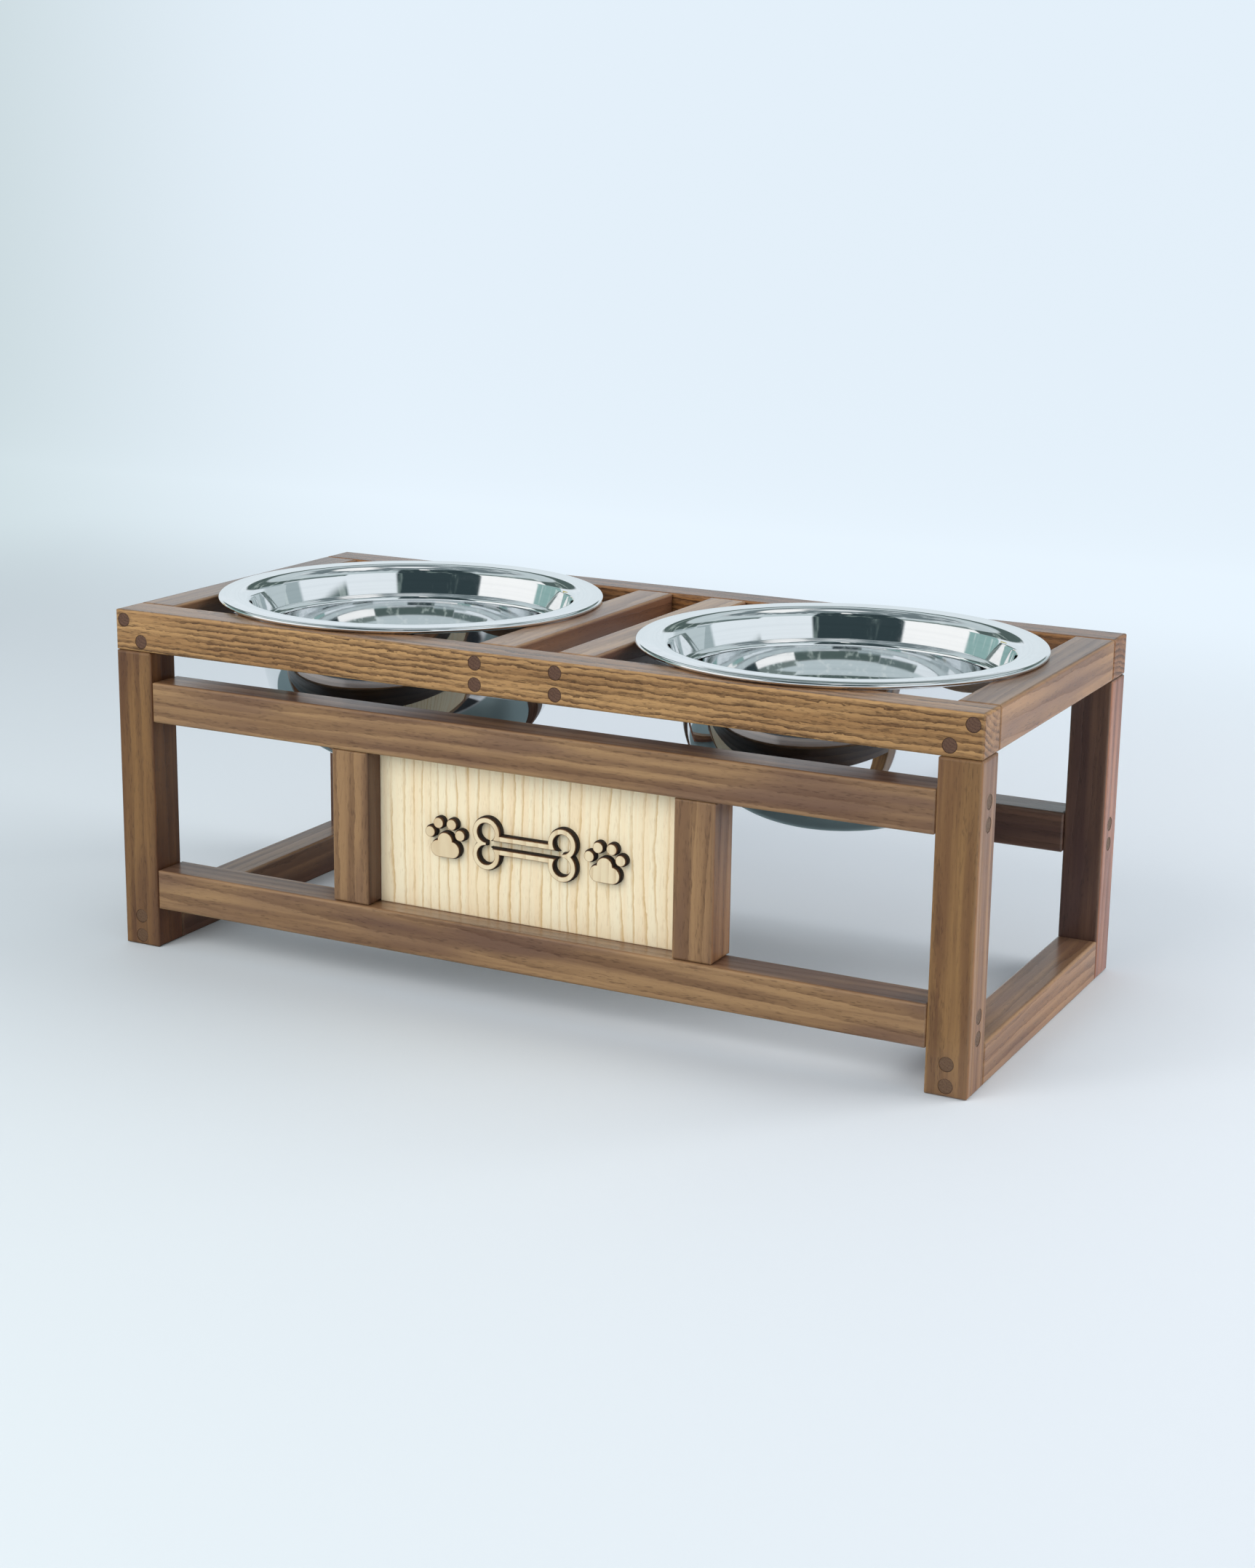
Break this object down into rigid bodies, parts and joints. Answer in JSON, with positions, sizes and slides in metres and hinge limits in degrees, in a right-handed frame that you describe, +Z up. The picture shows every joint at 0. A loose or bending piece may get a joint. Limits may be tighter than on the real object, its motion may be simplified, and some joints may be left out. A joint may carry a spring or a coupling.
{
  "type": "elevated dog feeder",
  "caption": "Elevated dog feeder: a low stand of square dowelled timber that holds round steel bowls side by side over an open storage bay, with a pale plaque panel in front.",
  "frame": {"origin": "on the floor, at the bottom centre of the bounding box, midway between the legs", "axes": "+X to the right along the long rails, +Y to the back, so the panel faces -Y, +Z up"},
  "size_m": [0.624, 0.283, 0.2414],
  "materials": {
    "stained_wood": "satin walnut-brown stain over open straight grain",
    "dowel_wood": "satin stain over end grain",
    "panel_wood": "bare pale wood with upright grain",
    "motif_pale": "bare pale wood, cut edges slightly toasted",
    "motif_scorched": "scorched dark wood",
    "bowl_steel": "polished stainless steel"
  },
  "bodies": {
    "stand": {"front_top_rail": "stained_wood", "back_top_rail": "stained_wood", "left_top_rail": "stained_wood", "right_top_rail": "stained_wood", "left_cross_rail": "stained_wood", "right_cross_rail": "stained_wood", "front_left_leg": "stained_wood", "front_right_leg": "stained_wood", "back_left_leg": "stained_wood", "back_right_leg": "stained_wood", "left_bottom_rail": "stained_wood", "right_bottom_rail": "stained_wood", "front_upper_stretcher": "stained_wood", "front_lower_stretcher": "stained_wood", "back_stretcher": "stained_wood", "left_stile": "stained_wood", "right_stile": "stained_wood", "front_panel": "panel_wood", "bone_backing": "motif_scorched", "bone_face": "motif_pale", "left_paw_backing": "motif_scorched", "left_paw_face": "motif_pale", "right_paw_backing": "motif_scorched", "right_paw_face": "motif_pale", "corner_dowels": "dowel_wood", "cross_rail_dowels": "dowel_wood", "stretcher_dowels": "dowel_wood", "bottom_rail_dowels": "dowel_wood", "leg_pins": "dowel_wood", "stile_pins": "dowel_wood"},
    "left_bowl_body": {"left_bowl": "bowl_steel"},
    "right_bowl_body": {"right_bowl": "bowl_steel"}
  },
  "joints": [
    {"name": "left_bowl_lift", "type": "slide", "parent": "stand", "child": "left_bowl_body", "axis": [0, 0, 1], "range_m": [0, 0.13]},
    {"name": "right_bowl_lift", "type": "slide", "parent": "stand", "child": "right_bowl_body", "axis": [0, 0, 1], "range_m": [0, 0.13]}
  ]
}
